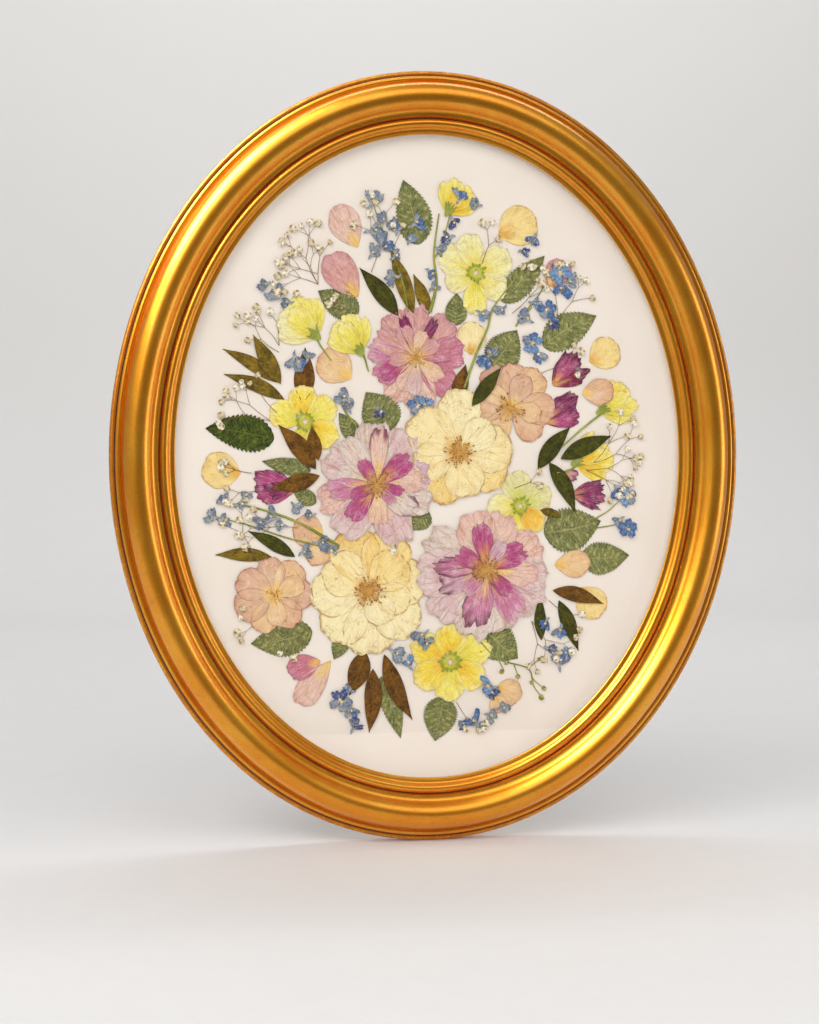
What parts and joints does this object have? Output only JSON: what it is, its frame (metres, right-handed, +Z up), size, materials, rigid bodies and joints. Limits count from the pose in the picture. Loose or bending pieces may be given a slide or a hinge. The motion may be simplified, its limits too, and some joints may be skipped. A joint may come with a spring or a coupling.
{
  "type": "pressed flower frame",
  "caption": "Oval gilded wall frame with a bouquet of pressed roses, leaves and small florets on an off-white board under glass.",
  "frame": {"origin": "where the wall hook meets the teeth of the hanger, on the wall plane, 212 mm above the middle of the oval", "axes": "+Z up, -Y out of the front towards the viewer, +Y into the wall, +X to the viewer's right"},
  "size_m": [0.493, 0.0294, 0.593],
  "materials": {
    "gilded_wood": "gold leaf over red-brown clay, rubbed at the edges",
    "picture_glass": "clear",
    "spacer_board": "matte",
    "mount_board": "matte, faint paper tooth",
    "hardboard": "smooth side out",
    "steel": "zinc plated",
    "petals_pink": "dry, matte",
    "petals_lavender": "dry, matte",
    "petals_cream": "dry, matte",
    "petals_peach": "dry, matte",
    "petals_magenta": "dry, matte",
    "petals_yellow": "dry, matte",
    "leaves_green": "dry, matte",
    "leaves_brown": "dry, satin",
    "florets_blue": "dry, matte",
    "florets_white": "dry, matte",
    "stems": "dry, matte",
    "stamens": "dry, matte"
  },
  "bodies": {
    "root": {"backing_board": "hardboard", "bud_yellow_left": "petals_yellow", "bud_yellow_low_right": "petals_yellow", "bud_yellow_middle": "petals_yellow", "bud_yellow_right": "petals_yellow", "bud_yellow_top": "petals_yellow", "framer_point_1": "steel", "framer_point_2": "steel", "framer_point_3": "steel", "framer_point_4": "steel", "framer_point_5": "steel", "framer_point_6": "steel", "glass": "picture_glass", "glass_spacer": "spacer_board", "leaf_brown_left": "leaves_brown", "leaf_brown_right": "leaves_brown", "leaf_dark_left": "leaves_green", "leaf_dark_right": "leaves_green", "leaf_olive_lower": "leaves_brown", "leaf_olive_top": "leaves_brown", "leaf_olive_upper": "leaves_brown", "leaf_rose_bottom": "leaves_green", "leaf_rose_broad_right": "leaves_green", "leaf_rose_crown": "leaves_green", "leaf_rose_far_right": "leaves_green", "leaf_rose_inner_left": "leaves_green", "leaf_rose_lower_left": "leaves_green", "leaf_rose_lower_right": "leaves_green", "leaf_rose_right_inner": "leaves_green", "leaf_rose_right_outer": "leaves_green", "leaf_rose_upper_left": "leaves_green", "leaf_rose_upper_right": "leaves_green", "lisianthus_cream": "petals_yellow", "lisianthus_green_right": "petals_yellow", "lisianthus_yellow_left": "petals_yellow", "lisianthus_yellow_low": "petals_yellow", "moulding": "gilded_wood", "mount_board": "mount_board", "petal_burgundy": "petals_magenta", "petal_cream_left": "petals_cream", "petal_cream_low_right": "petals_cream", "petal_cream_middle": "petals_cream", "petal_cream_right": "petals_cream", "petal_cream_top": "petals_cream", "petal_magenta_left": "petals_magenta", "petal_magenta_right": "petals_magenta", "petal_peach_left": "petals_peach", "petal_pink_corner": "petals_pink", "petal_pink_high": "petals_pink", "petal_pink_low": "petals_pink", "rivet_left": "steel", "rivet_right": "steel", "rose_blush_left": "petals_peach", "rose_cream_centre": "petals_cream", "rose_cream_low": "petals_cream", "rose_lavender_left": "petals_lavender", "rose_peach_right": "petals_peach", "rose_pink_right": "petals_pink", "rose_pink_top": "petals_pink", "sawtooth_hanger": "steel"}
  },
  "joints": []
}
